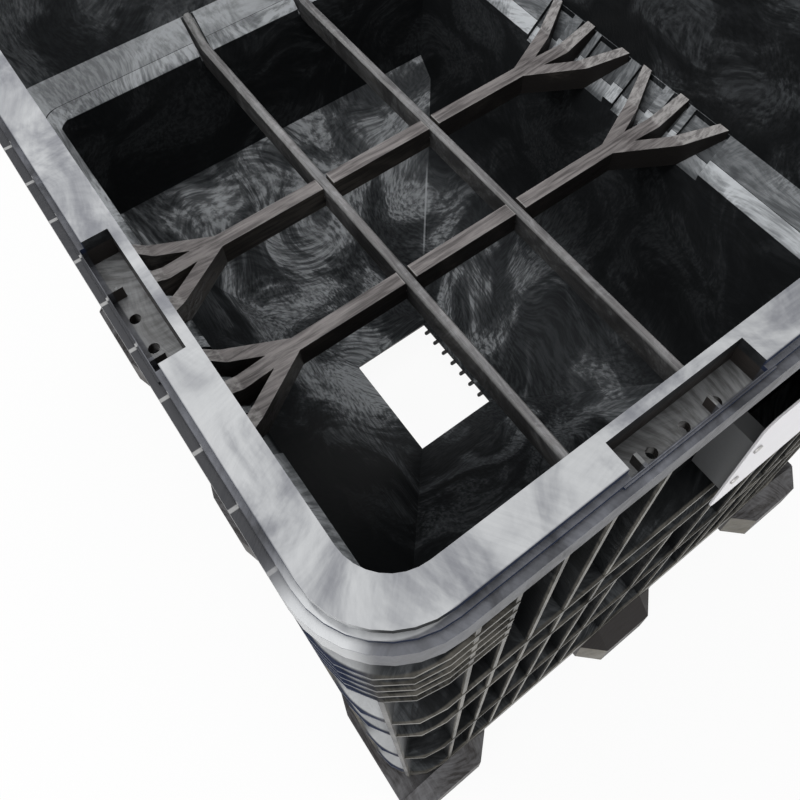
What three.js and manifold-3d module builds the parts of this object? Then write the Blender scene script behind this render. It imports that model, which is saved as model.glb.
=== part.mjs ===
// Bulk container with a hopper floor, bracing grid and slide gate.
// Millimetres, +Z up, origin at the middle of the footprint on the floor.
// X runs across the short side, Y along the long side.
import * as THREE from 'three';
import { ConvexGeometry } from 'three/addons/geometries/ConvexGeometry.js';
import { mergeVertices } from 'three/addons/utils/BufferGeometryUtils.js';
import Module from 'manifold-3d';

const wasm = await Module();
wasm.setup();

// Overall size and rim
const totalHeight = 1385;
const openingX = 1016;
const openingY = 1278;
const openingRadius = 55;
const rimWidth = 40;
const rimRadius = 90;
const rimSkin = 12;
const rimStepOut = 6;
const rimStepDrop = 10;
const flangeOut = 15;
const flangeTop = 16;
const flangeDrop = 56;
const flangeSkin = 8;
const bandOverlap = 4;

// Outer wall and its ribs
const wallInsetFromTip = 41;
const wallSkin = 10;
const wallDraft = 13;
const tipDraft = 15;
const baseHeight = 115;
const deckSkin = 10;
const ribSkin = 6;
const finSkin = 6;
const finDrops = [95, 130, 165, 200, 235];
const finReachX = 396;
const finReachY = 520;
const beltSkin = 9;
const beltDrops = [425, 560, 900];
const footBandHeight = 34;
const longRibX = [443, 398, 345, 288, 220];
const lowRibX = [55, 165];
const shortRibPitch = 63;
const shortRibCount = 6;

// Rim pockets
const pocketLength = 169;
const pocketWallIn = 11;
const pocketWidth = 34;
const pocketDepth = 42;
const pocketShort = 268;
const pocketLong = 191;
const pocketHoleRadius = 6;
const pocketHolePitch = 41;
const pocketTabSkin = 4;
const pocketTabHeight = 18;
const pocketTabPlaces = [-61, 31];

// Sloped ledge and the seat of the hopper
const ledgeDrop = 492;
const ledgeWidth = 57;
const ledgeFall = 60;
const bodyLedgeWidth = 38;
const seatDrop = 560;
const seatSkin = 12;
const seatInset = 47;
const slotDepth = 14;
const fit = 0.4;

// Hopper
const hopperSkin = 8;
const hopperRadius = 36;
const outletX = 205;
const outletY = 268;
const outletStep = 20;
const outletHeight = baseHeight - outletStep;
const throatDepth = 12;
const neckEase = 1.2;
const funnelGrow = 12;
const funnelTighten = 6;
const deckHoleX = 35;
const deckHoleY = 41;
const slopeTopX = 480;
const slopeTopY = 525;
const slopeInsetX = 90;
const slopeInsetY = 70;

// Bracing grid
const braceDrop = 528;
const braceDepth = 50;
const beamWidth = 27;
const beamPlace = 125.5;
const hubPlace = 351;
const prongSpread = 96;
const fingerShift = -18;
const fingerRise = 45;
const ribPlace = 119;
const ribWidth = 22;
const ribRidge = 9;
const ribShoulder = 6;
const endGap = 1.5;
const kneeInset = 10;

// Slide gate
const gateSkin = 6;
const gateGap = 3;
const gateTravel = outletX;
const gateOverlap = 22;
const gateEdgeY = 172;
const toothCount = 7;
const toothPitch = 36;
const toothLength = 14;
const toothWidth = 9;
const toothShift = 4;
const handleLength = 42;
const handleWidth = 110;
const handleRim = 14;
const railGap = 2;
const railWeb = 16;
const railLip = 34;
const railLipSkin = 10;
const screwRadius = 3;
const screwHead = 7;
const screwHeadSkin = 3;
const screwCount = 3;

// Feet
const footOutY = 717.5;
const footOutX = 560;
const footBevel = 40;
const footRise = 45;
const footFace = 95;
const shoulderGap = 0.6;
const cornerFootX = 205;
const cornerFootY = 262;
const midFootHalf = 98;
const midFootDeep = 146;
const seatGap = 0.3;
const baseScrewInset = 24;
const baseScrewX = 250;
const baseScrewY = 350;
const baseScrewGrip = 20;

// Placard
const placardLeft = -45;
const placardWidth = 300;
const placardHeight = 270;
const placardDrop = 190;
const placardSkin = 3;
const placardFace = 703;
const placardCorner = 22;
const bracketWidth = 24;
const bracketInset = 18;
const bracketHeight = 150;
const rivetRadius = 3;
const rivetHead = 7;
const rivetHeadSkin = 2;
const rivetGrip = 16;
const rivetHoleDepth = 24;
const roundSides = 12;

// Places worked out from the sizes
const openHalfX = openingX / 2;
const openHalfY = openingY / 2;
const rimHalfX = openHalfX + rimWidth;
const rimHalfY = openHalfY + rimWidth;
const tipHalfX = rimHalfX + flangeOut;
const tipHalfY = rimHalfY + flangeOut;
const flangeBottom = totalHeight - flangeDrop;
const ledgeTop = totalHeight - ledgeDrop;
const lipHeight = ledgeTop - ledgeFall;
const seatTop = totalHeight - seatDrop;
const braceTop = totalHeight - braceDrop;
const braceBottom = braceTop - braceDepth;
const outHalfX = outletX / 2;
const outHalfY = outletY / 2;
const deckTop = baseHeight + deckSkin;
const bodyBottom = deckTop + seatGap;
const baseHalfX = tipHalfX - tipDraft;
const baseHalfY = tipHalfY - tipDraft;
const cornerArc = 8;
const beltArc = 4;
const past = 20;

function leanAt(z, lean) {
  return lean * Math.min(1, (totalHeight - z) / (totalHeight - baseHeight));
}

function roundRect(halfX, halfY, radius, z, arc = cornerArc) {
  const points = [];
  for (let corner = 0; corner < 4; corner++) {
    const sideX = corner === 0 || corner === 3 ? 1 : -1;
    const sideY = corner < 2 ? 1 : -1;
    for (let step = 0; step <= arc; step++) {
      const turn = (corner + step / arc) * Math.PI / 2;
      const x = sideX * (halfX - radius) + radius * Math.cos(turn);
      const y = sideY * (halfY - radius) + radius * Math.sin(turn);
      points.push(new THREE.Vector3(x, y, z));
    }
  }
  return points;
}

function solidOf(geometry) {
  const bare = geometry.clone();
  bare.deleteAttribute('normal');
  bare.deleteAttribute('uv');
  const merged = mergeVertices(bare, 1e-3);
  const vertProperties = new Float32Array(merged.attributes.position.array);
  const triVerts = new Uint32Array(merged.index.array);
  return new wasm.Manifold(new wasm.Mesh({ numProp: 3, vertProperties, triVerts }));
}

function hull(points) {
  return solidOf(new ConvexGeometry(points));
}

function block(x0, x1, y0, y1, z0, z1) {
  const geometry = new THREE.BoxGeometry(Math.abs(x1 - x0), Math.abs(y1 - y0), z1 - z0);
  geometry.translate((x0 + x1) / 2, (y0 + y1) / 2, (z0 + z1) / 2);
  return solidOf(geometry);
}

function frustum(low, high) {
  return hull([...roundRect(...low), ...roundRect(...high)]);
}

function post(radius, x, y, z0, z1, sides = 8) {
  const geometry = new THREE.CylinderGeometry(radius, radius, z1 - z0, sides);
  geometry.rotateX(Math.PI / 2);
  geometry.translate(x, y, (z0 + z1) / 2);
  return solidOf(geometry);
}

function joined(solids) {
  return solids.reduce((sum, solid) => sum.add(solid));
}

function cutBy(solid, cutters) {
  return solid.subtract(joined(cutters));
}

function meshOf(name, solid, material) {
  const data = solid.getMesh();
  const geometry = new THREE.BufferGeometry();
  geometry.setAttribute('position', new THREE.BufferAttribute(data.vertProperties, 3));
  geometry.setIndex(new THREE.BufferAttribute(data.triVerts, 1));
  geometry.computeVertexNormals();
  const mesh = new THREE.Mesh(geometry, material);
  mesh.name = name;
  return mesh;
}

function plastic(color, roughness) {
  return new THREE.MeshStandardMaterial({ color, roughness, metalness: 0 });
}

// Height of the sloped ledge at a distance in from the wall
function ledgeAt(inset) {
  return ledgeTop - ledgeFall * inset / ledgeWidth;
}

// Plate all round the wall at one level, out to the rib tips
function beltPlate(z0, z1) {
  const low = leanAt(z0, tipDraft);
  const high = leanAt(z1, tipDraft);
  return frustum(
    [tipHalfX - low, tipHalfY - low, rimRadius, z0, beltArc],
    [tipHalfX - high, tipHalfY - high, rimRadius, z1, beltArc],
  );
}

// Upright rib on a long side wall (across Y) or a short side wall (across X)
function uprightRib(place, side, acrossX, z0, z1) {
  const half = ribSkin / 2;
  const points = [];
  for (const z of [z0, z1]) {
    const tip = (acrossX ? tipHalfX : tipHalfY) - leanAt(z, tipDraft) - 1;
    const root = acrossX ? openHalfX : openHalfY;
    for (const along of [place - half, place + half]) {
      for (const out of [root, tip]) {
        points.push(acrossX
          ? new THREE.Vector3(side * out, along, z)
          : new THREE.Vector3(along, side * out, z));
      }
    }
  }
  return hull(points);
}

function pocketFrame(acrossX, side, place) {
  const edge = acrossX ? openHalfX : openHalfY;
  return (in0, in1, a0, a1, z0, z1) => (acrossX
    ? block(side * (edge + in0), side * (edge + in1), place + a0, place + a1, z0, z1)
    : block(place + a0, place + a1, side * (edge + in0), side * (edge + in1), z0, z1));
}

function pocketPlaces() {
  const places = [];
  for (const side of [-1, 1]) {
    for (const end of [-1, 1]) {
      places.push([true, side, end * pocketShort, end]);
      places.push([false, side, end * pocketLong, end]);
    }
  }
  return places;
}

// Foot: a block with bevelled ends, a core up to the deck and a sloped shoulder outside the wall
function foot(plan, core, shoulder) {
  const at = (points, z) => points.map(([x, y]) => new THREE.Vector3(x, y, z));
  const solids = [
    hull([...at(plan, 0), ...at(plan, footFace)]),
    hull([...at(core, 0), ...at(core, baseHeight + 1)]),
  ];
  if (shoulder) {
    const [low, high] = shoulder;
    solids.push(hull([...at(low, footFace), ...at(low, footFace - 5), ...at(high, footFace + footRise)]));
  }
  return joined(solids);
}

function cornerFoot(sideX, sideY) {
  const inX = footOutX - cornerFootX;
  const inY = footOutY - cornerFootY;
  const plan = [
    [inX, baseHalfY], [inX + footBevel, footOutY], [footOutX - footBevel, footOutY],
    [footOutX, footOutY - footBevel], [footOutX, inY + footBevel], [baseHalfX, inY], [inX, inY],
  ];
  const core = [[inX, inY], [baseHalfX, inY], [baseHalfX, baseHalfY - rimRadius],
    [baseHalfX - rimRadius, baseHalfY], [inX, baseHalfY]];
  const edge = baseHalfY + shoulderGap;
  const low = [[inX, edge], [inX + footBevel, footOutY], [footOutX - footBevel, footOutY], [footOutX, edge]];
  const high = [[inX + footBevel, edge], [footOutX - 2 * footBevel, edge]];
  const flip = ([x, y]) => [sideX * x, sideY * y];
  return foot(plan.map(flip), core.map(flip), [low.map(flip), high.map(flip)]);
}

function midFoot(side, acrossX) {
  const out = acrossX ? footOutX : footOutY;
  const wall = acrossX ? baseHalfX : baseHalfY;
  const inner = out - midFootDeep;
  const half = midFootHalf;
  const flat = midFootHalf - footBevel;
  const plan = [[-half, wall], [-flat, out], [flat, out], [half, wall], [half, inner], [-half, inner]];
  const core = [[-half, wall], [half, wall], [half, inner], [-half, inner]];
  const edge = wall + shoulderGap;
  const low = [[-half, edge], [-flat, out], [flat, out], [half, edge]];
  const high = [[-flat, edge], [flat, edge]];
  const turn = ([along, outward]) => (acrossX ? [side * outward, along] : [along, side * outward]);
  const shoulder = acrossX ? null : [low.map(turn), high.map(turn)];
  return foot(plan.map(turn), core.map(turn), shoulder);
}

// Deck and eight feet, moulded as one base that the walls stand on
function palletBase() {
  const solids = [frustum([baseHalfX, baseHalfY, rimRadius, baseHeight],
    [baseHalfX, baseHalfY, rimRadius, deckTop])];
  for (const sideX of [-1, 1]) {
    for (const sideY of [-1, 1]) {
      solids.push(cornerFoot(sideX, sideY));
    }
    solids.push(midFoot(sideX, true));
    solids.push(midFoot(sideX, false));
  }
  const throatX = outHalfX + deckHoleX;
  const throatY = outHalfY + deckHoleY;
  const cuts = [block(-throatX, throatX, -throatY, throatY, baseHeight - 1, deckTop + 1)];
  for (const [x, y] of [...railScrewPlaces(), ...baseScrewPlaces()]) {
    cuts.push(post(screwRadius + fit, x, y, baseHeight - 1, deckTop + 1));
  }
  return cutBy(joined(solids), cuts);
}

function baseScrewPlaces() {
  const places = [];
  for (const sideX of [-1, 1]) {
    for (const sideY of [-1, 1]) {
      places.push([sideX * (baseHalfX - baseScrewInset), sideY * baseScrewY]);
      places.push([sideX * baseScrewX, sideY * (baseHalfY - baseScrewInset)]);
    }
  }
  return places;
}

// Upright rib set across a rounded corner
function cornerRib(sideX, sideY) {
  const points = [];
  const half = ribSkin / 2;
  for (const z of [bodyBottom, totalHeight - finDrops[finDrops.length - 1]]) {
    for (const radius of [openingRadius / 2, rimRadius - leanAt(z, tipDraft) - 1]) {
      for (const offset of [-half, half]) {
        const x = tipHalfX - rimRadius + (radius + offset) * Math.SQRT1_2;
        const y = tipHalfY - rimRadius + (radius - offset) * Math.SQRT1_2;
        points.push(new THREE.Vector3(sideX * x, sideY * y, z));
      }
    }
  }
  return hull(points);
}

// Finger slots in the ledge, shared by the body and the hopper lip
function fingerPlaces(beamSide) {
  return [-1, 0, 1].map((k) => beamSide * beamPlace + fingerShift + k * prongSpread);
}

function fingerSlots() {
  const slots = [];
  const knee = ledgeWidth + kneeInset;
  for (const sideX of [-1, 1]) {
    for (const beamSide of [-1, 1]) {
      for (const tip of fingerPlaces(beamSide)) {
        const lean = (openHalfX - knee - hubPlace) / (openHalfX - hubPlace);
        const near = beamSide * beamPlace + (tip - beamSide * beamPlace) * lean;
        const low = Math.min(near, tip) - beamWidth / 2 - 3;
        const high = Math.max(near, tip) + beamWidth / 2 + 3;
        slots.push(slotPrism(true, sideX, low, high));
      }
    }
  }
  for (const sideY of [-1, 1]) {
    for (const place of [-ribPlace, ribPlace]) {
      slots.push(slotPrism(false, sideY, place - ribWidth / 2 - 3, place + ribWidth / 2 + 3));
    }
  }
  return joined(slots);
}

function slotPrism(acrossX, side, low, high) {
  const edge = acrossX ? openHalfX : openHalfY;
  const outer = edge - 0.5;
  const inner = edge - ledgeWidth - past;
  const points = [];
  for (const along of [low, high]) {
    for (const out of [outer, inner]) {
      const floor = ledgeAt(edge - out) - slotDepth;
      for (const z of [floor, ledgeTop + past]) {
        points.push(acrossX
          ? new THREE.Vector3(side * out, along, z)
          : new THREE.Vector3(along, side * out, z));
      }
    }
  }
  return hull(points);
}

function containerBody(slots) {
  const wallX = tipHalfX - wallInsetFromTip;
  const wallY = tipHalfY - wallInsetFromTip;
  const wallRadius = openingRadius + wallSkin;
  const solids = [];
  solids.push(frustum(
    [wallX - wallDraft, wallY - wallDraft, wallRadius, bodyBottom, beltArc],
    [wallX, wallY, wallRadius, totalHeight - 1, beltArc],
  ));

  // Rim top, small step and hanging flange
  const stepTop = totalHeight - rimStepDrop;
  const bandTop = totalHeight - flangeTop;
  solids.push(frustum([rimHalfX, rimHalfY, rimRadius, bandTop - bandOverlap],
    [rimHalfX, rimHalfY, rimRadius, totalHeight]));
  const stepX = rimHalfX + rimStepOut;
  const stepY = rimHalfY + rimStepOut;
  solids.push(frustum([stepX, stepY, rimRadius + rimStepOut, bandTop - 4],
    [stepX, stepY, rimRadius + rimStepOut, stepTop]));
  const band = frustum([tipHalfX, tipHalfY, rimRadius + flangeOut, flangeBottom],
    [tipHalfX, tipHalfY, rimRadius + flangeOut, bandTop]);
  const under = frustum(
    [tipHalfX - flangeSkin, tipHalfY - flangeSkin, rimRadius, flangeBottom - 1],
    [tipHalfX - flangeSkin, tipHalfY - flangeSkin, rimRadius, totalHeight - rimSkin - flangeTop],
  );
  solids.push(band.subtract(under));

  // Thin fins that wrap the four corners
  const gapX = block(-finReachX, finReachX, -footOutY, footOutY, baseHeight, totalHeight);
  const gapY = block(-footOutX, footOutX, -finReachY, finReachY, baseHeight, totalHeight);
  const finGap = gapX.add(gapY);
  for (const drop of finDrops) {
    const z = totalHeight - drop;
    solids.push(beltPlate(z - finSkin, z).subtract(finGap));
  }

  // Belts all round, and the band at the foot of the wall
  for (const drop of beltDrops) {
    const z = totalHeight - drop;
    solids.push(beltPlate(z - beltSkin, z));
  }
  solids.push(beltPlate(bodyBottom, bodyBottom + footBandHeight));

  // Upright ribs
  const ribTop = flangeBottom + 10;
  for (const side of [-1, 1]) {
    for (const mirror of [-1, 1]) {
      for (const place of longRibX) {
        solids.push(uprightRib(mirror * place, side, false, bodyBottom, ribTop));
      }
      for (const place of lowRibX) {
        solids.push(uprightRib(mirror * place, side, false, bodyBottom, totalHeight - beltDrops[1]));
      }
      for (let k = 0; k < shortRibCount; k++) {
        const place = mirror * shortRibPitch * (k + 0.5);
        solids.push(uprightRib(place, side, true, bodyBottom, ribTop));
      }
    }
  }

  // Pocket housings under the rim
  const housingEnd = pocketLength / 2 + wallSkin;
  const housingFloor = totalHeight - flangeDrop;
  for (const [acrossX, side, place] of pocketPlaces()) {
    const at = pocketFrame(acrossX, side, place);
    const outer = rimWidth + flangeOut - flangeSkin + 1;
    solids.push(at(0, outer, -housingEnd, housingEnd, housingFloor, totalHeight - rimSkin));
  }

  for (const sideX of [-1, 1]) {
    for (const sideY of [-1, 1]) {
      solids.push(cornerRib(sideX, sideY));
    }
  }

  // Inside: straight upper wall, sloped ledge, seat and the space round the hopper
  const cuts = [];
  cuts.push(frustum([openHalfX, openHalfY, openingRadius, ledgeTop],
    [openHalfX, openHalfY, openingRadius, totalHeight + past]));
  const seatHoleX = openHalfX - bodyLedgeWidth;
  const seatHoleY = openHalfY - bodyLedgeWidth;
  const seatRadius = openingRadius - bodyLedgeWidth / 2;
  cuts.push(frustum([seatHoleX, seatHoleY, seatRadius, ledgeAt(bodyLedgeWidth)],
    [openHalfX, openHalfY, openingRadius, ledgeTop + 0.01]));
  cuts.push(frustum([seatHoleX, seatHoleY, seatRadius, seatTop],
    [seatHoleX, seatHoleY, seatRadius, ledgeAt(bodyLedgeWidth) + 0.5]));
  const holeX = openHalfX - seatInset;
  const holeY = openHalfY - seatInset;
  const holeRadius = hopperRadius + ledgeWidth - seatInset;
  cuts.push(frustum([holeX, holeY, holeRadius, seatTop - seatSkin - 1],
    [holeX, holeY, holeRadius, seatTop + 1]));
  const lowIn = wallDraft + wallSkin;
  const highIn = leanAt(seatTop, wallDraft) + wallSkin;
  cuts.push(frustum(
    [wallX - lowIn, wallY - lowIn, openingRadius, bodyBottom - 1, beltArc],
    [wallX - highIn, wallY - highIn, openingRadius, seatTop - seatSkin, beltArc],
  ));
  cuts.push(slots);

  for (const [acrossX, side, place] of pocketPlaces()) {
    const at = pocketFrame(acrossX, side, place);
    const floor = totalHeight - pocketDepth;
    const end = pocketLength / 2;
    const inner = pocketWallIn;
    const outer = pocketWallIn + pocketWidth;
    let pocket = at(inner, outer, -end, end, floor, totalHeight + past);
    for (const tab of pocketTabPlaces) {
      const half = pocketTabSkin / 2;
      pocket = pocket.subtract(at(outer - pocketWidth / 2, outer, tab - half, tab + half,
        floor, floor + pocketTabHeight));
    }
    cuts.push(pocket);
    for (const k of [-1, 0, 1]) {
      const out = side * ((acrossX ? openHalfX : openHalfY) + outer - pocketWidth / 3);
      const along = place + k * pocketHolePitch;
      const x = acrossX ? out : along;
      const y = acrossX ? along : out;
      cuts.push(post(pocketHoleRadius, x, y, housingFloor - 2, floor + 2, 12));
    }
  }
  for (const [x, y] of baseScrewPlaces()) {
    cuts.push(post(screwRadius + fit, x, y, bodyBottom - 1, bodyBottom + baseScrewGrip + 1));
  }
  return cutBy(joined(solids), cuts);
}

// Inside of the hopper: two crossed profiles, grown outward by a skin
function hopperForm(grow, top) {
  const runX = openHalfX - slopeInsetX - outHalfX;
  const runY = openHalfY - slopeInsetY - outHalfY;
  const neck = outletHeight + throatDepth;
  const along = (slopeTop, run) => {
    const fall = slopeTop - neck;
    const size = Math.hypot(fall, run);
    return [grow * fall / size, grow * run / size];
  };
  const [outX, downX] = along(slopeTopX, runX);
  const [outY, downY] = along(slopeTopY, runY);
  const profileX = [
    [openHalfX - ledgeWidth + grow, top],
    [openHalfX - slopeInsetX + outX, slopeTopX - downX],
    [outHalfX + grow, neck - downX + (grow - outX) * neckEase],
    [outHalfX + grow, outletHeight],
  ];
  const profileY = [
    [openHalfY - ledgeWidth + grow, top],
    [openHalfY - slopeInsetY + outY, slopeTopY - downY],
    [outHalfY + grow, neck - downY + (grow - outY) * neckEase],
    [outHalfY + grow, outletHeight],
  ];
  const prism = (profile, acrossX) => {
    const points = [];
    for (const [half, z] of profile) {
      for (const side of [-half, half]) {
        for (const far of [-footOutY, footOutY]) {
          points.push(acrossX ? new THREE.Vector3(side, far, z) : new THREE.Vector3(far, side, z));
        }
      }
    }
    return hull(points);
  };
  const roundX = openHalfX - ledgeWidth + grow;
  const roundY = openHalfY - ledgeWidth + grow;
  const rounded = frustum([roundX, roundY, hopperRadius + grow, outletHeight],
    [roundX, roundY, hopperRadius + grow, top]);
  return prism(profileX, true).intersect(prism(profileY, false)).intersect(rounded);
}

function hopper(slots) {
  const outer = hopperForm(hopperSkin, seatTop + fit);
  const flangeX = openHalfX - bodyLedgeWidth - fit;
  const flangeY = openHalfY - bodyLedgeWidth - fit;
  const radius = openingRadius - bodyLedgeWidth / 2;
  const lip = frustum([flangeX, flangeY, radius, seatTop + fit], [flangeX, flangeY, radius, ledgeTop]);
  const grow = funnelGrow;
  const funnel = frustum(
    [openHalfX - ledgeWidth - grow, openHalfY - ledgeWidth - grow, radius - funnelTighten,
      ledgeAt(ledgeWidth + grow)],
    [openHalfX + grow, openHalfY + grow, radius, ledgeAt(-grow)],
  );
  const inner = hopperForm(0, ledgeTop);
  const below = block(-outHalfX, outHalfX, -outHalfY, outHalfY, outletHeight - past, outletHeight + 1);
  return cutBy(outer.add(lip), [funnel, inner, below, slots]);
}

// Beam section at one station along its run
function station(run, across, half, bottom, top) {
  return [[across - half, bottom], [across - half, top], [across + half, top], [across + half, bottom]]
    .map(([side, z]) => [run, side, z]);
}

function sweep(stations, acrossX) {
  const points = stations.flat().map(([run, side, z]) => (acrossX
    ? new THREE.Vector3(run, side, z)
    : new THREE.Vector3(side, run, z)));
  return hull(points);
}

function slotFloor(inset) {
  return ledgeAt(inset) - slotDepth + fit;
}

function crossings(beamSide) {
  return [-1, 1].map((side) => [side * ribPlace, beamSide * beamPlace]);
}

function tieBeam(beamSide) {
  const across = beamSide * beamPlace;
  const half = beamWidth / 2;
  const parts = [sweep([
    station(-hubPlace, across, half, braceBottom, braceTop),
    station(hubPlace, across, half, braceBottom, braceTop),
  ], true)];
  const wallRun = openHalfX - endGap;
  const kneeRun = openHalfX - ledgeWidth - kneeInset;
  for (const sideX of [-1, 1]) {
    for (const tip of fingerPlaces(beamSide)) {
      const reach = (run) => across + (tip - across) * (run - hubPlace) / (wallRun - hubPlace);
      const knee = reach(kneeRun);
      const kneeTop = braceTop + fingerRise / 5;
      const lipRun = openHalfX - ledgeWidth - kneeInset / 2;
      parts.push(sweep([
        station(sideX * (hubPlace - half), across, half, braceBottom, braceTop),
        station(sideX * kneeRun, knee, half, braceBottom + 4, kneeTop),
      ], true));
      parts.push(sweep([
        station(sideX * kneeRun, knee, half, braceBottom + 4, kneeTop),
        station(sideX * lipRun, reach(lipRun), half, slotFloor(ledgeWidth + kneeInset / 2), kneeTop + 2),
      ], true));
      parts.push(sweep([
        station(sideX * lipRun, reach(lipRun), half, slotFloor(ledgeWidth + kneeInset / 2), kneeTop + 2),
        station(sideX * wallRun, tip, half - 3, slotFloor(endGap), braceTop + fingerRise),
      ], true));
    }
  }
  const cuts = crossings(beamSide).map(([x, y]) => block(
    x - ribWidth / 2 - fit, x + ribWidth / 2 + fit, y - beamWidth, y + beamWidth,
    braceTop - braceDepth / 2, braceTop + past,
  ));
  return cutBy(joined(parts), cuts);
}

function ribStation(run, across, bottom, top) {
  const half = ribWidth / 2;
  return [[-half, bottom], [half, bottom], [half - 2, top - ribShoulder], [ribRidge / 2, top],
    [-ribRidge / 2, top], [-half + 2, top - ribShoulder]]
    .map(([side, z]) => [run, across + side, z]);
}

function crossRib(side) {
  const across = side * ribPlace;
  const wallRun = openHalfY - endGap;
  const kneeRun = openHalfY - ledgeWidth - kneeInset;
  const lipRun = openHalfY - ledgeWidth - kneeInset / 2;
  const parts = [sweep([
    ribStation(-kneeRun, across, braceBottom, braceTop),
    ribStation(kneeRun, across, braceBottom, braceTop),
  ], false)];
  for (const end of [-1, 1]) {
    parts.push(sweep([
      ribStation(end * (kneeRun - 1), across, braceBottom, braceTop),
      ribStation(end * lipRun, across, slotFloor(ledgeWidth + kneeInset / 2), braceTop + 2),
    ], false));
    parts.push(sweep([
      ribStation(end * lipRun, across, slotFloor(ledgeWidth + kneeInset / 2), braceTop + 2),
      ribStation(end * wallRun, across, slotFloor(endGap), braceTop + fingerRise - 4),
    ], false));
  }
  const cuts = [-1, 1].map((beamSide) => {
    const y = beamSide * beamPlace;
    const half = beamWidth / 2 + fit;
    return block(across - ribWidth, across + ribWidth, y - half, y + half,
      braceBottom - past, braceTop - braceDepth / 2 + fit);
  });
  return cutBy(joined(parts), cuts);
}

// Gate in its open place, with the comb edge at the outlet
const gateTop = outletHeight - gateGap;
const gateBottom = gateTop - gateSkin;
const gateFront = outHalfX + fit;
const gateBack = gateFront + gateTravel + gateOverlap;

function slideGate() {
  const plate = block(gateFront, gateBack, -gateEdgeY, gateEdgeY, gateBottom, gateTop);
  const parts = [plate];
  for (let k = 0; k < toothCount; k++) {
    const y = toothShift + (k - (toothCount - 1) / 2) * toothPitch;
    const half = toothWidth / 2;
    const tip = gateFront - toothLength + half;
    parts.push(block(tip, gateFront + 1, y - half, y + half, gateBottom, gateTop));
    parts.push(post(half, tip, y, gateBottom, gateTop, 12));
  }
  const grip = handleWidth / 2;
  parts.push(block(gateBack - 1, gateBack + handleLength, -grip, grip, gateBottom, gateTop));
  const hole = block(gateBack + handleRim / 2, gateBack + handleLength - handleRim,
    -grip + handleRim, grip - handleRim, gateBottom - 1, gateTop + 1);
  return joined(parts).subtract(hole);
}

const railIn = gateEdgeY + railGap;
const railStart = -outHalfX - 20;
const railEnd = gateBack + 8;
const railBottom = gateBottom - fit - railLipSkin;

function railScrewPlaces() {
  const places = [];
  for (const side of [-1, 1]) {
    for (let k = 0; k < screwCount; k++) {
      const share = (k + 0.5) / screwCount;
      places.push([railStart + share * (railEnd - railStart), side * (railIn + railWeb / 2)]);
    }
  }
  return places;
}

function gateRail(side) {
  const outer = railIn + railWeb;
  const web = block(railStart, railEnd, side * railIn, side * outer, railBottom, baseHeight - fit);
  const lip = block(railStart, railEnd, side * (railIn - railLip), side * outer,
    railBottom, gateBottom - fit);
  const holes = railScrewPlaces().filter(([, y]) => y * side > 0)
    .map(([x, y]) => post(screwRadius + fit, x, y, railBottom - 1, baseHeight));
  return cutBy(web.add(lip), holes);
}

// Screw driven upward: its head sits under a face, its shank ends at the top height
function screw(under, top) {
  const head = post(screwHead, 0, 0, under - fit - screwHeadSkin, under - fit);
  return head.add(post(screwRadius, 0, 0, under - fit - 1, top));
}

// Blank placard on the near long side, on two brackets
const placardTop = totalHeight - placardDrop;
const placardMidX = placardLeft + placardWidth / 2;
const bracketPlaces = [placardLeft + bracketInset, placardLeft + placardWidth - bracketInset];

function rivetPlaces() {
  const places = [];
  const midZ = placardTop - placardHeight / 2;
  for (const x of bracketPlaces) {
    for (const end of [-1, 1]) {
      places.push([x, midZ + end * bracketHeight / 3]);
    }
  }
  return places;
}

function placard() {
  const shape = new THREE.Shape();
  const halfX = placardWidth / 2;
  const halfZ = placardHeight / 2;
  const r = placardCorner;
  shape.moveTo(-halfX + r, -halfZ);
  shape.lineTo(halfX - r, -halfZ);
  shape.absarc(halfX - r, -halfZ + r, r, -Math.PI / 2, 0);
  shape.absarc(halfX - r, halfZ - r, r, 0, Math.PI / 2);
  shape.absarc(-halfX + r, halfZ - r, r, Math.PI / 2, Math.PI);
  shape.absarc(-halfX + r, -halfZ + r, r, Math.PI, Math.PI * 1.5);
  for (const [x, z] of rivetPlaces()) {
    const hole = new THREE.Path();
    hole.absarc(x - placardMidX, z - placardTop + halfZ, rivetRadius + fit, 0, Math.PI * 2, true);
    shape.holes.push(hole);
  }
  const geometry = new THREE.ExtrudeGeometry(shape, {
    depth: placardSkin, bevelEnabled: false, curveSegments: 6,
  });
  geometry.rotateX(Math.PI / 2);
  geometry.translate(placardMidX, -placardFace + placardSkin, placardTop - halfZ);
  return solidOf(geometry);
}

function placardBracket(x) {
  const midZ = placardTop - placardHeight / 2;
  const back = tipHalfY - wallInsetFromTip - leanAt(midZ + bracketHeight / 2, wallDraft) + fit;
  const front = placardFace - placardSkin - fit;
  const solid = block(x - bracketWidth / 2, x + bracketWidth / 2, -front, -back,
    midZ - bracketHeight / 2, midZ + bracketHeight / 2);
  const holes = rivetPlaces().filter(([place]) => place === x).map(([, z]) => {
    const radius = rivetRadius + fit;
    const geometry = new THREE.CylinderGeometry(radius, radius, rivetHoleDepth, roundSides);
    geometry.translate(x, -front + rivetHoleDepth / 4, z);
    return solidOf(geometry);
  });
  return cutBy(solid, holes);
}

function rivet() {
  const head = new THREE.CylinderGeometry(rivetHead, rivetHead, rivetHeadSkin, roundSides);
  head.translate(0, -placardFace - fit - rivetHeadSkin / 2, 0);
  const shank = new THREE.CylinderGeometry(rivetRadius, rivetRadius, rivetGrip, roundSides);
  shank.translate(0, -placardFace - fit - rivetHeadSkin / 2 + rivetGrip / 2, 0);
  return solidOf(head).add(solidOf(shank));
}

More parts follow.
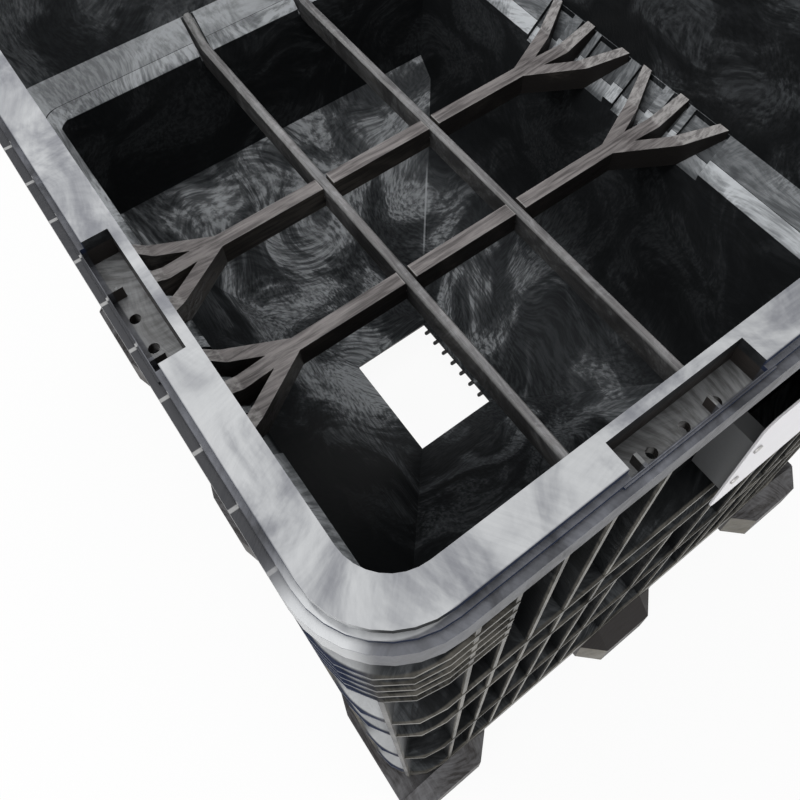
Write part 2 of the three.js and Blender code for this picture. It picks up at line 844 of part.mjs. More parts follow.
// The assembled container
const blackPlastic = plastic(0x2a2a2d, 0.5);
const basePlastic = plastic(0x1f1d1b, 0.5);
const bracePlastic = plastic(0x3a3735, 0.5);
const gatePlastic = plastic(0x1b1b1d, 0.45);
const whitePlastic = plastic(0xe8e8ea, 0.4);
const greyPlastic = plastic(0x6c6f73, 0.45);
const zincSteel = new THREE.MeshStandardMaterial({ color: 0x9a9a98, roughness: 0.4, metalness: 1 });

const container = new THREE.Group();
const slots = fingerSlots();
container.add(meshOf('container_body', containerBody(slots), blackPlastic));
container.add(meshOf('hopper', hopper(slots), blackPlastic.clone()));
container.add(meshOf('tie_beam_near', tieBeam(-1), bracePlastic));
container.add(meshOf('tie_beam_far', tieBeam(1), bracePlastic.clone()));
container.add(meshOf('cross_rib_left', crossRib(-1), bracePlastic.clone()));
container.add(meshOf('cross_rib_right', crossRib(1), bracePlastic.clone()));
container.add(meshOf('slide_gate', slideGate(), gatePlastic));
container.add(meshOf('gate_rail_near', gateRail(-1), gatePlastic.clone()));
container.add(meshOf('gate_rail_far', gateRail(1), gatePlastic.clone()));
container.add(meshOf('placard', placard(), whitePlastic));

container.add(meshOf('pallet_base', palletBase(), basePlastic));

const railScrewSolid = screw(railBottom, deckTop - 1);
railScrewPlaces().forEach(([x, y], index) => {
  const piece = meshOf(`rail_screw_${index + 1}`, railScrewSolid, zincSteel.clone());
  piece.position.set(x, y, 0);
  container.add(piece);
});

const baseScrewSolid = screw(baseHeight, bodyBottom + baseScrewGrip);
baseScrewPlaces().forEach(([x, y], index) => {
  const piece = meshOf(`base_screw_${index + 1}`, baseScrewSolid, zincSteel.clone());
  piece.position.set(x, y, 0);
  container.add(piece);
});

bracketPlaces.forEach((x, index) => {
  container.add(meshOf(`placard_bracket_${index + 1}`, placardBracket(x), greyPlastic.clone()));
});

const rivetSolid = rivet();
rivetPlaces().forEach(([x, z], index) => {
  const piece = meshOf(`placard_rivet_${index + 1}`, rivetSolid, zincSteel.clone());
  piece.position.set(x, 0, z);
  container.add(piece);
});

export default container;
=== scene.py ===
import math
import bpy
import bmesh
from mathutils import Matrix, Vector


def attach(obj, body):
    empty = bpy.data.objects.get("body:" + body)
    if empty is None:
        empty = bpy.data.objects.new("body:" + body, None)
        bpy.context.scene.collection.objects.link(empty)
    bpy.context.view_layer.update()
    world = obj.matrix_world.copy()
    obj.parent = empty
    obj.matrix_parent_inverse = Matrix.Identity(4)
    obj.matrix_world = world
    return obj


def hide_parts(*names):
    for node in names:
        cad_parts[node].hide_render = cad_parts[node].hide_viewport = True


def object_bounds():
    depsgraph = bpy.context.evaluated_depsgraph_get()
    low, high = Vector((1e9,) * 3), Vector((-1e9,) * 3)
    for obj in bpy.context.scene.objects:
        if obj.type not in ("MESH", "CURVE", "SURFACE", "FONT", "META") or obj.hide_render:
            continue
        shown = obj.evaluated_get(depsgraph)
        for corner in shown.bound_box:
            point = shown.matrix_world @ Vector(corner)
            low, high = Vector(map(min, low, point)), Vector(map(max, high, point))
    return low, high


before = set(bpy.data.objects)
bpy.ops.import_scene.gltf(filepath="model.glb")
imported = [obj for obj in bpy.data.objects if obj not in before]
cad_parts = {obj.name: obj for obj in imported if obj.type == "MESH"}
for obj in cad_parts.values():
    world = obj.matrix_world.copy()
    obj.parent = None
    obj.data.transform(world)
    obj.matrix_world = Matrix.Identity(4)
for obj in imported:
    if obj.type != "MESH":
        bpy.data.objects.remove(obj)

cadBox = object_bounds()
rimTop = cadBox[1].z
scene = bpy.context.scene
scene.view_settings.view_transform = "Standard"
print("frame loaded")


# Camera, solved from the rim, ledge, outlet and feet in the photograph
photo = {
    "side": 800,                      # the photograph is 800 x 800
    "sensor": 36,
    "focalPx": 891.4,
    "axisPx": (407, 240),             # where the lens axis meets the picture
    "place": (-0.5713, -0.8001, 2.1065),
    "aim": (-0.1852, -0.2295, 1.131),
    "roll": -0.0435,
    "farthest": 60,
}


def addCamera(look):
    data = bpy.data.cameras.new("camera")
    data.sensor_width = look["sensor"]
    data.lens = look["focalPx"] * look["sensor"] / look["side"]
    half = look["side"] / 2
    data.shift_x = (half - look["axisPx"][0]) / look["side"]
    data.shift_y = (look["axisPx"][1] - half) / look["side"]
    data.clip_end = look["farthest"]
    cam = bpy.data.objects.new("camera", data)
    scene.collection.objects.link(cam)
    place = Vector(look["place"])
    ahead = (Vector(look["aim"]) - place).normalized()
    right = ahead.cross(Vector((0, 0, 1))).normalized()
    up = right.cross(ahead)
    c, s = math.cos(look["roll"]), math.sin(look["roll"])
    turnedRight = c * right + s * up
    turnedUp = c * up - s * right
    cam.matrix_world = Matrix.Translation(place) @ Matrix(
        (turnedRight, turnedUp, -ahead)).transposed().to_4x4()
    scene.camera = cam


addCamera(photo)
print("camera placed")


# Shader maths: a socket with operators
class Wire:
    def __init__(self, board, socket):
        self.board = board
        self.socket = socket

    def __add__(self, other):
        return self.board.maths("ADD", self, other)

    def __radd__(self, other):
        return self.board.maths("ADD", other, self)

    def __sub__(self, other):
        return self.board.maths("SUBTRACT", self, other)

    def __rsub__(self, other):
        return self.board.maths("SUBTRACT", other, self)

    def __mul__(self, other):
        return self.board.maths("MULTIPLY", self, other)

    def __rmul__(self, other):
        return self.board.maths("MULTIPLY", other, self)

    def __pow__(self, other):
        return self.board.maths("POWER", self, other)

    def __rpow__(self, other):
        return self.board.maths("POWER", other, self)


# A node tree: every node but the shader and the output comes from its node method
class Board:
    def __init__(self, tree):
        self.tree = tree
        self.tree.nodes.clear()

    def plug(self, socket, value):
        if isinstance(value, Wire):
            self.tree.links.new(value.socket, socket)
        else:
            socket.default_value = value

    def node(self, kind, settings=None, sockets=None, out=0):
        made = self.tree.nodes.new(kind)
        for key, value in (settings or {}).items():
            setattr(made, key, value)
        for key, value in (sockets or {}).items():
            self.plug(made.inputs[key], value)
        return Wire(self, made.outputs[out])

    def maths(self, operation, *values):
        return self.node("ShaderNodeMath", {"operation": operation}, dict(enumerate(values)))


class Finish(Board):
    def __init__(self, name, fixed):
        self.material = bpy.data.materials.new(name)
        self.material.use_nodes = True
        super().__init__(self.material.node_tree)
        self.surface = self.tree.nodes.new("ShaderNodeBsdfPrincipled")
        self.out = self.tree.nodes.new("ShaderNodeOutputMaterial")
        self.tree.links.new(self.surface.outputs[0], self.out.inputs[0])
        for key, value in fixed.items():
            self.plug(self.surface.inputs[key], value)

    def set(self, **sockets):
        for key, value in sockets.items():
            self.plug(self.surface.inputs[key.replace("_", " ")], value)

    # Often used pieces of maths
    def places(self):
        return self.node("ShaderNodeTexCoord", out="Object")

    def part(self, vector, axis):
        return self.node("ShaderNodeSeparateXYZ", None, {0: vector}, out=axis)

    # A soft step over a span of (start, end), falling where the end is the smaller
    def step(self, value, span, outLow=0.0, outHigh=1.0):
        return self.node("ShaderNodeMapRange", {"interpolation_type": "SMOOTHSTEP"},
                         {0: value, 1: span[0], 2: span[1], 3: outLow, 4: outHigh})

    def noise(self, vector, scale, detail=4.0, rough=0.55, warp=0.0, out=0):
        return self.node("ShaderNodeTexNoise", None, {
            "Vector": vector, "Scale": scale, "Detail": detail,
            "Roughness": rough, "Distortion": warp}, out=out)

    def stretched(self, vector, scale):
        return self.node("ShaderNodeVectorMath", {"operation": "MULTIPLY"}, {0: vector, 1: scale})

    def moved(self, vector, push, amount):
        scaled = self.node("ShaderNodeVectorMath", {"operation": "SCALE"},
                           {0: push, "Scale": amount})
        return self.node("ShaderNodeVectorMath", {"operation": "ADD"}, {0: vector, 1: scaled})

    def blend(self, share, first, second):
        return self.node("ShaderNodeMix", {"data_type": "RGBA"},
                         {0: share, 6: first, 7: second}, out=2)      # the colour sockets

    def bump(self, height, strength, distance):
        return self.node("ShaderNodeBump", None,
                         {"Height": height, "Strength": strength, "Distance": distance})


def grey(shade, warm=0.0):
    return (shade * (1 + warm), shade, shade * (1 - warm), 1)


# Sizes of the outer shell, for masks on the moulding; its extents are read from the frame
shellBox = [Vector(corner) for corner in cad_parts["container_body"].bound_box]
halfX = max(corner.x for corner in shellBox)
halfY = max(corner.y for corner in shellBox)
shell = {
    "halfX": halfX,
    "halfY": halfY,
    "corner": halfY - halfX,          # |y| - |x| on the diagonal of a corner
    "bottom": min(corner.z for corner in shellBox),
    "radius": 0.090,
    "tipDraft": 0.015,                # how far the rib tips lean in, from rim to floor
    "wallDepth": 0.048,               # from the rib tips to the wall
    "rimSteps": 0.018,
    "flange": 0.060,
}

# Recycled plastic: black with silver clouds, brushed along curved strokes
foam = {
    "dark": grey(0.0085, -0.1), "smoke": grey(0.085, -0.07), "silver": grey(0.62, -0.04),
    "smokeSpan": (0.0, 0.45), "silverSpan": (0.25, 1.7),      # lift that turns to smoke, to silver
    "driftScale": 1.9, "drift": 0.5,
    "cloudScale": 3.6, "cloudSpan": (0.39, 0.70),
    "wispAt": 0.52, "wispWidth": 0.03,
    "brushLong": (14, 160, 80), "brushCross": (160, 14, 80), "brushSpan": (0.34, 0.66),
    "turnScale": 3.2, "turnSpan": (0.44, 0.56),               # where the strokes change direction
    "blotchScale": 8.0, "blotchSpan": (0.36, 0.62),
    "speckScale": 300.0,
    "cloudLift": 0.45, "strokeLift": 0.75, "wispLift": 0.3, "brushLift": 0.1,
    "levelSpan": (0.45, 0.85),                                # how far a face looks up
    "roughness": 0.44, "roughSpread": (-0.07, 0.14), "roughSpan": (0.0, 1.2), "brushRough": 0.3,
    "brushBump": 0.6, "speckBump": 0.5, "bumpStrength": 0.3, "bumpDepth": 0.0009,
    "gloss": 0.16, "ior": 1.5,
}


class Foam(Finish):
    def __init__(self, name, look):
        super().__init__(name, {"IOR": look["ior"], "Specular IOR Level": look["gloss"]})
        self.look = look
        self.spot = self.places()
        self.x, self.y, self.z = (self.part(self.spot, axis) for axis in "XYZ")
        self.offX, self.offY = self.size(self.x), self.size(self.y)     # out from the middle
        normal = self.node("ShaderNodeNewGeometry", out="Normal")
        self.facingX, self.facingY, self.facingZ = (self.part(normal, axis) for axis in "XYZ")
        self.up = self.step(self.facingZ, look["levelSpan"])
        self.speck = self.noise(self.spot, look["speckScale"], 3.0, 0.7)
        self.swirls()

    def swirls(self):
        look = self.look
        drift = self.noise(self.spot, look["driftScale"], 2.0, 0.5, out="Color")
        curved = self.moved(self.spot, drift, look["drift"])
        long, cross = (self.noise(self.stretched(curved, look[way]), 1.0, 4.0, 0.6)
                       for way in ("brushLong", "brushCross"))
        turn = self.step(self.noise(curved, look["turnScale"], 2.0), look["turnSpan"])
        self.brush = self.step(turn * long + (1 - turn) * cross, look["brushSpan"])
        field = self.noise(curved, look["cloudScale"], 6.0, 0.62, 1.4)
        self.cloud = self.step(field, look["cloudSpan"])
        self.wisp = 1 - self.step(self.size(field - look["wispAt"]), (0.0, look["wispWidth"]))
        blotch = self.noise(self.spot, look["blotchScale"], 5.0, 0.6, 1.0)
        self.blotch = self.step(blotch, look["blotchSpan"])
        clouds = self.cloud * (self.brush * look["strokeLift"] + look["cloudLift"])
        wisps = self.wisp * self.brush * look["wispLift"]
        self.silvery = clouds + wisps + self.brush * look["brushLift"]

    def size(self, value):
        return self.maths("ABSOLUTE", value)

    def larger(self, first, second):
        return self.maths("MAXIMUM", first, second)

    def near(self, value, place, reach):
        return 1 - self.step(self.size(value - place), (reach * 0.5, reach))

    def shadeOf(self, lift):
        look = self.look
        shade = self.blend(self.step(lift, look["smokeSpan"]), look["dark"], look["smoke"])
        return self.blend(self.step(lift, look["silverSpan"]), shade, look["silver"])

    def finished(self, shade, lift):
        look = self.look
        smoothest, roughest = (look["roughness"] + change for change in look["roughSpread"])
        worn = lift + self.brush * look["brushRough"]
        height = self.brush * look["brushBump"] + self.speck * look["speckBump"]
        self.set(Base_Color=shade)
        self.set(Roughness=self.step(worn, look["roughSpan"], smoothest, roughest))
        self.set(Normal=self.bump(height, look["bumpStrength"], look["bumpDepth"]))
        return self.material

    # Distance out from the rib tips, which lean in towards the floor
    def beyondTips(self):
        lean = (rimTop - self.z) * (shell["tipDraft"] / (rimTop - shell["bottom"]))
        outX = self.larger(self.offX + lean - (shell["halfX"] - shell["radius"]), 0.0)
        outY = self.larger(self.offY + lean - (shell["halfY"] - shell["radius"]), 0.0)
        return (outX ** 2.0 + outY ** 2.0) ** 0.5 - shell["radius"]


# Spans over "beyond" are distances out from the rib tips
container = {
    # Inside: how much silver the walls carry, and the painted sheen on the ledge
    "wall": 0.26, "rightWall": 0.04, "farWall": 0.3, "wallBase": 0.05, "farBase": 0.1,
    "rightSpan": (0.35, 0.5), "farSpan": (0.45, 0.6),
    "ledge": 0.85, "ledgeBrush": 0.7, "ledgeCloud": 0.3, "farLedge": 0.9,
    # Outside: panels and rib tips
    "outwardSpan": (0.04, 0.1), "outerBeyond": (-0.075, -0.07), "wallFade": 0.004,
    "cornerFade": (-0.028, 0.014), "tipBeyond": (-0.005, -0.0025),
    "panel": 0.24, "panelLow": 0.7, "panelUpSheen": 0.06,
    # The rib-tip colours are a painted highlight on the rib edges
    "tip": (0.215, 0.203, 0.178, 1), "tipDark": (0.035, 0.034, 0.030, 1),
    "reflectionY": (0.57, 0.61), "reflectionX": (0.455, 0.47),        # painted reflection in silver near the corners
    # Rim and its flange
    "flangeFade": 0.002, "rimFade": 0.003,
    # The light rim colours are painted sheen and painted reflection, on the rim top and near the
    # corners
    "reflectionGrey": grey(0.43, -0.02), "rimDark": (0.13, 0.135, 0.153, 1),
    "reflectionWhite": grey(0.56, -0.02), "bandDark": (0.022, 0.023, 0.027, 1),
    # The dark blue line colour is painted shadow
    "shadowLine": (0.018, 0.026, 0.055, 1), "middleSpan": (0.61, 0.55),
    "riserBelow": (0.0175, 0.0165), "flangeBeyond": (-0.0165, -0.0145),
    "lipSpan": (0.60, 0.54), "lipBeyond": (-0.010, -0.0085),
    # The tick colour is a painted highlight over each rib on the lip
    "ribPitch": 0.063, "tickSpan": (0.0026, 0.0014), "tickHighlight": grey(0.26),
    "pocketFloor": grey(0.21, -0.02), "pocketDark": grey(0.08),
    "pocketWall": (0.030, 0.026, 0.024, 1),
}


def bodyFinish(look):
    made = Foam("bodyFoam", foam)
    beyond = made.beyondTips()

    # Where each zone of the moulding lies; the end walls look along Y, the long walls along X
    wallSpan = (-shell["wallDepth"], -shell["wallDepth"] + look["wallFade"])
    flangeFoot, rimFoot = rimTop - shell["flange"], rimTop - shell["rimSteps"]
    outward = made.step(made.facingX * made.x + made.facingY * made.y, look["outwardSpan"])
    outward = outward * made.step(beyond, look["outerBeyond"])
    outside = made.larger(made.step(beyond, wallSpan), outward)
    endWall = made.step(made.offY - made.offX,
                         [shell["corner"] + reach for reach in look["cornerFade"]])
    tip = made.step(beyond, look["tipBeyond"])
    high = made.step(made.z, (flangeFoot, flangeFoot + look["flangeFade"]))
    onRim = made.step(made.z, (rimFoot, rimFoot + look["rimFade"]))
    onFlange = made.step(beyond, look["flangeBeyond"])

    # Inside: walls with smoky clouds, and a brushed ledge made bright by painted sheen where it
    # faces up
    right = made.step(made.x, look["rightSpan"])
    far = made.step(made.y, look["farSpan"])
    inner = made.silvery * (right * look["rightWall"] + far * look["farWall"] + look["wall"])
    inner = inner + far * look["farBase"] + look["wallBase"]
    ledge = made.brush * look["ledgeBrush"] + made.cloud * look["ledgeCloud"]
    ledge = made.up * (ledge + far * look["farLedge"] + look["ledge"])
    shade = made.shadeOf(inner + ledge)

    # Outside: black panels with smears, lighter where they face up as painted sheen; thin light
    # rib edges as a painted highlight
    smears = made.silvery * look["panel"] * (made.up + look["panelLow"])
    panels = made.shadeOf(smears + made.up * look["panelUpSheen"])
    tipHighlights = made.blend(made.blotch * 0.6 + made.brush * 0.4, look["tipDark"], look["tip"])
    outer = made.blend(tip, panels, tipHighlights)

    # Near the corners the long walls carry a silver painted reflection, with dark blue painted
    # shadow lines between the panels
    corner = made.step(made.offY, look["reflectionY"]) * made.step(made.offX, look["reflectionX"])
    corner = (1 - endWall) * corner
    silver = made.blend(made.blotch * 0.7 + made.brush * 0.2, look["reflectionGrey"], look["reflectionWhite"])
    outer = made.blend(corner * (1 - tip), outer, silver)
    outer = made.blend(corner * tip, outer, look["shadowLine"])
    shade = made.blend(outside, shade, outer)

    # Rim: the bright top is painted sheen; the flange bands are darker along the end walls and
    # carry the painted reflection near the corners of the long walls
    mottle = made.blotch * 0.8 + made.brush * 0.12 + made.speck * 0.1
    rimSheen = made.blend(mottle, look["rimDark"], look["reflectionGrey"])
    streaks = made.blotch * (made.brush * 0.35 + 0.6)
    band = made.blend(streaks, look["bandDark"], look["rimDark"])
    side = made.blend(endWall, silver, band)
    middle = made.step(made.offY, look["middleSpan"])
    side = made.blend(middle, side, made.blend(endWall, band, side))
    # Painted shadow: the riser under the rim edge takes the dark blue line
    riser = made.step(made.z, [rimTop - drop for drop in look["riserBelow"]]) * (1 - made.up)
    flange = made.blend(riser, side, look["shadowLine"])

    # Long walls: the outer lip is dark, painted shade standing for the recessed wall below, with a
    # painted highlight tick over each rib
    lip = (1 - endWall) * made.step(made.offY, look["lipSpan"])
    lip = lip * made.step(beyond, look["lipBeyond"])
    tickHighlight = made.step(made.maths("PINGPONG", made.y, look["ribPitch"] / 2), look["tickSpan"])
    flange = made.blend(lip, flange, made.blend(tickHighlight, look["bandDark"], look["tickHighlight"]))
    shade = made.blend(high * onFlange, shade, flange)
    shade = made.blend(onRim * made.up * (1 - onFlange), shade, rimSheen)

    # Rim pockets: grey floor, dark walls
    inPocket = high * (1 - onRim) * outside * (1 - onFlange)
    pocketFloor = made.blend(made.brush, look["pocketDark"], look["pocketFloor"])
    pocket = made.blend(made.up, look["pocketWall"], pocketFloor)
    shade = made.blend(inPocket, shade, pocket)
    return made.finished(shade, inner)


hopper = {
    "slopeSpan": (0.25, 0.5),                                 # from steep wall to slope
    "slope": 1.2, "steep": 0.16, "base": 0.16, "steepBase": 0.09,
    "nearSpan": (-0.40, -0.05), "nearLean": 0.6, "nearDark": 0.2,
    "rightSpan": (0.12, 0.3), "right": 0.14,
    "lip": 0.7, "lipBrush": 0.4, "lipFrom": 0.815, "lipFade": 0.006,
    "valleySlope": 0.8458, "valleyStart": 0.012, "valleyWidth": 0.0035,
    "wornFrom": (0.1, 0.12), "wornAt": 0.275, "wornReach": 0.08, "worn": 0.5, "wornSpeck": 0.6,
    "gloss": 0.02, "roughness": 0.62,
}


def hopperFinish(look):
    made = Foam("hopperFoam", {**foam, "gloss": look["gloss"], "roughness": look["roughness"]})
    sloped = made.step(made.facingZ, look["slopeSpan"])
    fade = made.step(made.y + made.x * look["nearLean"], look["nearSpan"], look["nearDark"], 1.0)
    lift = made.silvery * (sloped * look["slope"] + look["steep"]) + sloped * look["base"]
    lift = lift * fade + (1 - sloped) * look["steepBase"]
    lift = lift + sloped * made.step(made.x, look["rightSpan"]) * look["right"]
    lip = made.step(made.z, (look["lipFrom"], look["lipFrom"] + look["lipFade"])) * made.up
    lift = lift + lip * (made.brush * look["lipBrush"] + look["lip"])

    # One valley between two slopes is worn to a light line
    valleyX = made.z * look["valleySlope"] + look["valleyStart"]
    valley = made.near(made.x, valleyX, look["valleyWidth"])
    worn = made.near(made.z, look["wornAt"], look["wornReach"])
    worn = made.step(made.y, look["wornFrom"]) * worn
    lift = lift + valley * worn * (made.speck * look["wornSpeck"] + look["worn"])
    return made.finished(made.shadeOf(lift), lift)


brace = {
    "top": (0.30, 0.28, 0.275, 1), "topDark": (0.085, 0.077, 0.077, 1),
    "side": (0.030, 0.027, 0.026, 1), "sideLight": (0.115, 0.104, 0.092, 1),
    "beamGrain": (9, 120, 120), "ribGrain": (120, 9, 120), "grainSpan": (0.34, 0.66),
    "ribCool": 0.35, "coolSilver": 0.7, "coolTop": 0.35, "coolBase": 0.22,
    # The edge colour is a painted highlight on the ridge shoulders; the seams take the same colour
    "topSpan": (0.3, 0.6), "edgeSpan": (0.86, 0.97), "edge": grey(0.42, 0.02),
    "cross": 0.119, "halfCross": 0.0125,                      # where beams and ribs cross
    "seamWidth": 0.0014, "seamSpan": (0.16, 0.15), "seam": 0.35,
}


def braceFinish(name, look, grainScale, cool):
    made = Foam(name, foam)
    grain = made.noise(made.stretched(made.spot, grainScale), 1.0, 5.0, 0.65, 0.4)
    grain = made.step(grain, look["grainSpan"])
    top = made.blend(grain * 0.75 + made.cloud * 0.25, look["topDark"], look["top"])
    side = made.blend(grain * made.cloud, look["side"], look["sideLight"])
    flat = made.step(made.facingZ, look["topSpan"])
    shade = made.blend(flat, side, top)
    # Ridge shoulders, between the tops and the sides, carry the painted highlight
    edge = flat * (1 - made.step(made.facingZ, look["edgeSpan"]))
    shade = made.blend(edge * (grain * 0.6 + 0.15 + cool * 0.6), shade, look["edge"])
    seam = made.near(made.size(made.offX - look["cross"]), look["halfCross"], look["seamWidth"])
    seam = seam * flat * made.step(made.offY, look["seamSpan"]) * look["seam"]
    shade = made.blend(seam, shade, look["edge"])
    cold = made.silvery * look["coolSilver"] + flat * look["coolTop"] + look["coolBase"]
    shade = made.blend(cool, shade, made.shadeOf(cold))
    return made.finished(shade, grain)


base = {
    "face": (0.020, 0.016, 0.014, 1), "faceLight": (0.048, 0.040, 0.035, 1),
    "chamfer": (0.20, 0.185, 0.15, 1), "diagonalSpan": (0.5, 0.62),
    "shoulder": (0.20, 0.20, 0.21, 1), "shoulderDark": (0.018, 0.015, 0.014, 1),
    "shoulderSpan": (0.2, 0.4), "endSpan": (0.25, 0.33), "end": 0.8, "middle": 0.06,
}


def baseFinish(look):
    made = Foam("baseFoam", foam)
    face = made.blend(made.cloud * made.brush, look["face"], look["faceLight"])
    diagonalX, diagonalY = (made.step(made.size(facing), look["diagonalSpan"])
                            for facing in (made.facingX, made.facingY))
    diagonal = diagonalX * diagonalY * (made.brush * 0.3 + 0.6)
    face = made.blend(diagonal, face, look["chamfer"])
    ends = made.step(made.offX, look["endSpan"]) * look["end"] + look["middle"]
    smoke = (made.cloud * 0.5 + made.brush * 0.4) * ends
    shoulder = made.blend(smoke, look["shoulderDark"], look["shoulder"])
    shade = made.blend(made.step(made.facingZ, look["shoulderSpan"]), face, shoulder)
    return made.finished(shade, made.cloud)


bodyFoam = bodyFinish(container)
hopperFoam = hopperFinish(hopper)
beamFoam = braceFinish("beamFoam", brace, brace["beamGrain"], 0.0)
ribFoam = braceFinish("ribFoam", brace, brace["ribGrain"], brace["ribCool"])
baseFoam = baseFinish(base)

# Gate, placard and metal pieces: one colour with a fine grain and some wear
plain = {
    "grainScale": 180.0, "grainSpan": (0.2, 0.8), "wearScale": 14.0, "wearSpan": (0.5, 0.75),
    "roughSpread": (-0.06, 0.08), "bumpStrength": 0.2, "bumpDepth": 0.0004,
}


def plainFinish(name, colour, roughness, fleck, metal=0.0):
    made = Finish(name, {"Metallic": metal})
    spot = made.places()
    grain = made.noise(spot, plain["grainScale"], 4.0, 0.65)
    wear = made.step(made.noise(spot, plain["wearScale"], 4.0, 0.6, 0.8), plain["wearSpan"])
    deep = tuple(c * (1 - fleck) for c in colour[:3]) + (1,)
    smoothest, roughest = (roughness + change for change in plain["roughSpread"])
    made.set(Base_Color=made.blend(grain * 0.6 + wear * 0.4, deep, colour))
    made.set(Roughness=made.step(grain, plain["grainSpan"], smoothest, roughest))
    made.set(Normal=made.bump(grain, plain["bumpStrength"], plain["bumpDepth"]))
    return made.material


gateBlack = plainFinish("gateBlack", grey(0.014), 0.4, 0.4)
placardWhite = plainFinish("placardWhite", (0.86, 0.85, 0.88, 1), 0.35, 0.04)
bracketGrey = plainFinish("bracketGrey", grey(0.13, -0.03), 0.45, 0.2)
zincSteel = plainFinish("zincSteel", grey(0.55, 0.02), 0.35, 0.25, 1.0)
print("finishes made")


# Skins: the solids' own faces with moulded edges
# For each solid: skin, body, slot, finish and width of its edges
skins = {
    "container_body": ("bodySkin", "frame", "body_plastic", bodyFoam, 0.0016),
    "pallet_base": ("baseSkin", "frame", "base_plastic", baseFoam, 0.002),
    "hopper": ("hopperSkin", "frame", "body_plastic", hopperFoam, 0.003),
    "tie_beam_near": ("nearBeam", "frame", "brace_plastic", beamFoam, 0.003),
    "tie_beam_far": ("farBeam", "frame", "brace_plastic", beamFoam, 0.003),
    "cross_rib_left": ("leftRib", "frame", "brace_plastic", ribFoam, 0.0025),
    "cross_rib_right": ("rightRib", "frame", "brace_plastic", ribFoam, 0.0025),
    "slide_gate": ("gatePlate", "gate", "gate_plastic", gateBlack, 0.001),
    "gate_rail_near": ("nearRail", "frame", "gate_plastic", gateBlack, 0.001),
    "gate_rail_far": ("farRail", "frame", "gate_plastic", gateBlack, 0.001),
    "placard": ("placardSheet", "frame", "placard_white", placardWhite, 0.0008),
}

moulding = {
    "mergeGap": 0.00003,              # slivers thinner than this are closed up
    "flatTurn": math.radians(0.6),    # faces that turn less than this are merged
    "areaChange": 0.002,              # share of the area that merging may change
    "edgeTurn": math.radians(35),     # edges that turn more than this are rounded
    "edgeSteps": 2,
}


def areaOf(work):
    return sum(face.calc_area() for face in work.faces)


# Merges flat triangles; a copy whose area grew has a face across a hole, so it isn't used
def tidied(mesh):
    work = bmesh.new()
    work.from_mesh(mesh)
    bmesh.ops.remove_doubles(work, verts=work.verts, dist=moulding["mergeGap"])
    area = areaOf(work)
    bmesh.ops.dissolve_limit(work, angle_limit=moulding["flatTurn"],
                             verts=work.verts, edges=work.edges)
    kept = abs(areaOf(work) - area) < area * moulding["areaChange"]
    if kept:
        work.to_mesh(mesh)
    work.free()
    return kept


def skinOf(node, name, body, slotName, material, edge):
    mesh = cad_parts[node].data.copy()
    mesh.name = name
    print(name, "merged" if tidied(mesh) else "left in triangles")
    mesh.materials.clear()
    mesh.materials.append(material)
    piece = bpy.data.objects.new(name, mesh)
    scene.collection.objects.link(piece)
    bevel = piece.modifiers.new("edge", "BEVEL")
    bevel.width = edge
    bevel.segments = moulding["edgeSteps"]
    bevel.limit_method = "ANGLE"
    bevel.angle_limit = moulding["edgeTurn"]
    bevel.use_clamp_overlap = True
    for face in mesh.polygons:
        face.use_smooth = True
    mesh.set_sharp_from_angle(angle=moulding["edgeTurn"])
    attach(piece, body)
    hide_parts(node)


for node, skin in skins.items():
    skinOf(node, *skin)

# Brackets, screws and rivets keep the solids' own meshes
for node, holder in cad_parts.items():
    if node in skins:
        continue
    holder.data.materials.clear()
    holder.data.materials.append(bracketGrey if "bracket" in node else zincSteel)
print("skins made")


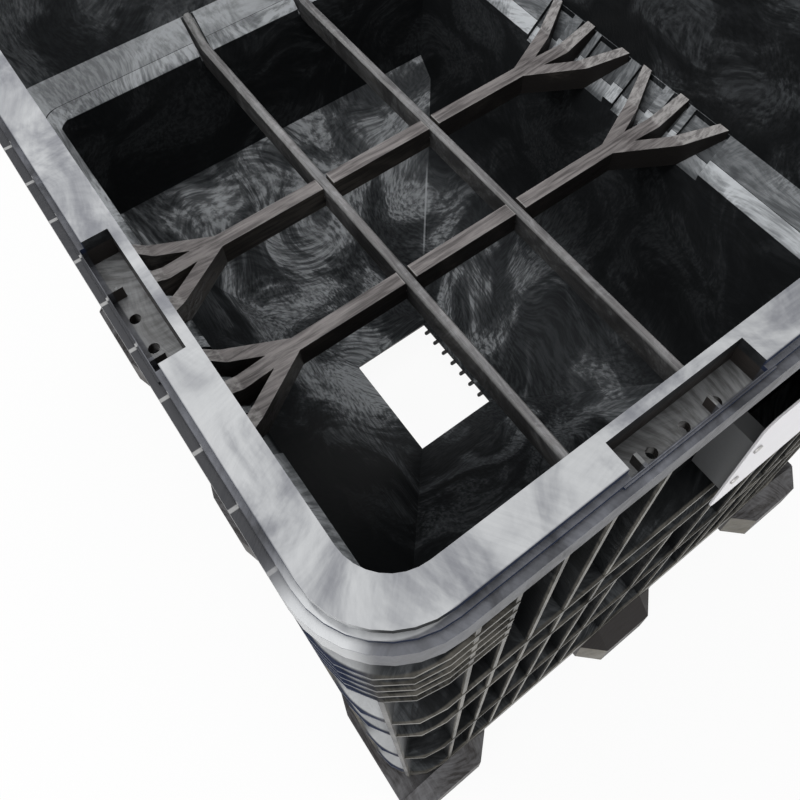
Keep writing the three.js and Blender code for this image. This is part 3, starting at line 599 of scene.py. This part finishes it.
# Floor, soft lights and a white background
studio = {
    "floor": 0.82, "floorLight": 1.03, "floorSize": 30, "floorDrop": 0.0006,
    "floorGlow": 0.94,                # how far the floor gives way to the white backdrop
    "white": (1, 1, 1, 1), "worldLight": 0.52,
    "seenBy": ("Is Camera Ray", "Is Glossy Ray", "Is Transmission Ray"),   # rays that see white
    "lamps": {
        "topSoft": {"place": (-0.6, 0.6, 3.6), "aim": (0, 0, 1.0), "size": (2.4, 2.4),
                    "power": 62},
        "leftSoft": {"place": (-3.2, -0.8, 2.2), "aim": (0, 0, 0.8), "size": (2.0, 2.4),
                     "power": 36},
        "frontSoft": {"place": (1.0, -3.4, 2.0), "aim": (0.3, -0.7, 1.0), "size": (2.0, 2.0),
                      "power": 22},
    },
}


def addFloor(look):
    bpy.ops.mesh.primitive_plane_add(size=look["floorSize"], location=(0, 0, -look["floorDrop"]))
    floor = bpy.context.object
    floor.name = "floor"
    made = Finish("floorPale", {"Roughness": 0.9})
    patches = made.noise(made.places(), 3.0, 3.0)
    lighter = grey(look["floor"] * look["floorLight"])
    made.set(Base_Color=made.blend(patches, grey(look["floor"]), lighter))
    glow = made.node("ShaderNodeEmission", None, {0: look["white"], 1: 1.0})
    rays = [made.node("ShaderNodeLightPath", out=ray) for ray in look["seenBy"]]
    seen = (rays[0] + rays[1] + rays[2]) * look["floorGlow"]
    pale = Wire(made, made.surface.outputs[0])
    mixed = made.node("ShaderNodeMixShader", None, {0: seen, 1: pale, 2: glow})
    made.plug(made.out.inputs[0], mixed)
    floor.data.materials.append(made.material)


def addWorld(look):
    world = bpy.data.worlds.new("studio")
    scene.world = world
    world.use_nodes = True
    board = Board(world.node_tree)
    rays = [board.node("ShaderNodeLightPath", out=ray) for ray in look["seenBy"]]
    either = board.maths("MAXIMUM", board.maths("MAXIMUM", rays[0], rays[1]), rays[2])
    seen, light = (board.node("ShaderNodeBackground", None, {0: look["white"], 1: strength})
                   for strength in (1.0, look["worldLight"]))
    mixed = board.node("ShaderNodeMixShader", None, {0: either, 1: light, 2: seen})
    board.plug(board.tree.nodes.new("ShaderNodeOutputWorld").inputs[0], mixed)


def addLamp(name, place, aim, size, power):
    data = bpy.data.lights.new(name, "AREA")
    data.shape = "RECTANGLE"
    data.size, data.size_y = size
    data.energy = power
    lamp = bpy.data.objects.new(name, data)
    scene.collection.objects.link(lamp)
    lamp.location = place
    lamp.rotation_mode = "QUATERNION"
    lamp.rotation_quaternion = (Vector(aim) - Vector(place)).to_track_quat("-Z", "Y")


addFloor(studio)
addWorld(studio)
for name, lamp in studio["lamps"].items():
    addLamp(name, **lamp)
print("studio lit")
